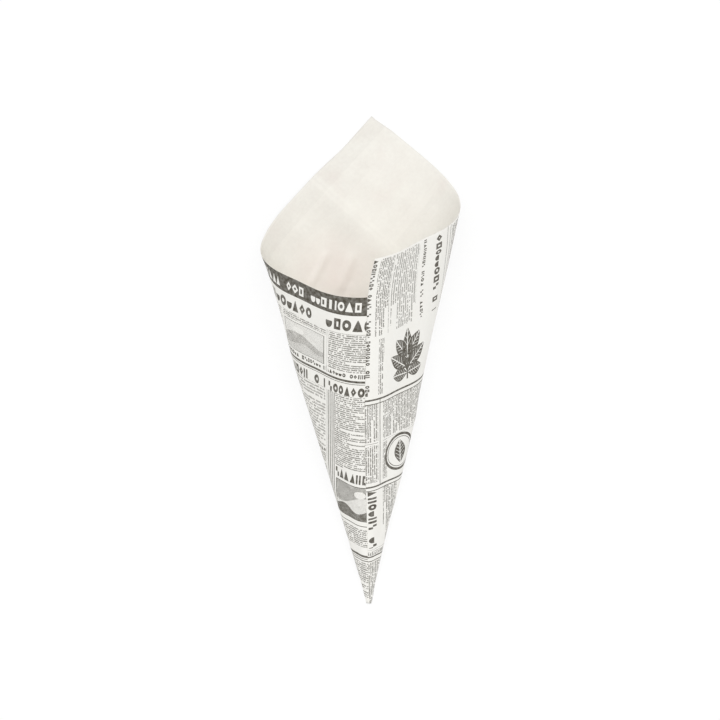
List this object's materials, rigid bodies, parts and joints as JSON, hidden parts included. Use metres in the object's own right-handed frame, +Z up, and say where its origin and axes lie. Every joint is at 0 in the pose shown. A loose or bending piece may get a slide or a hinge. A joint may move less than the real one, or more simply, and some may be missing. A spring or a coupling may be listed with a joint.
{
  "type": "paper food cone",
  "caption": "Rolled paper cone for chips, one printed sheet with a lapped, glued seam and a tall pointed back, open at the mouth.",
  "frame": {"origin": "middle of the footprint, on the surface that the cone lies on", "axes": "+Z up, +Y from the point towards the open mouth, +X to the right when seen from above; the seam faces up"},
  "size_m": [0.1172, 0.2874, 0.0942],
  "materials": {
    "printed_paper": "matt white paper, printed outside in dark warm grey, bare and creamier inside"
  },
  "bodies": {
    "root": {"paper_cone": "printed_paper"}
  },
  "joints": []
}
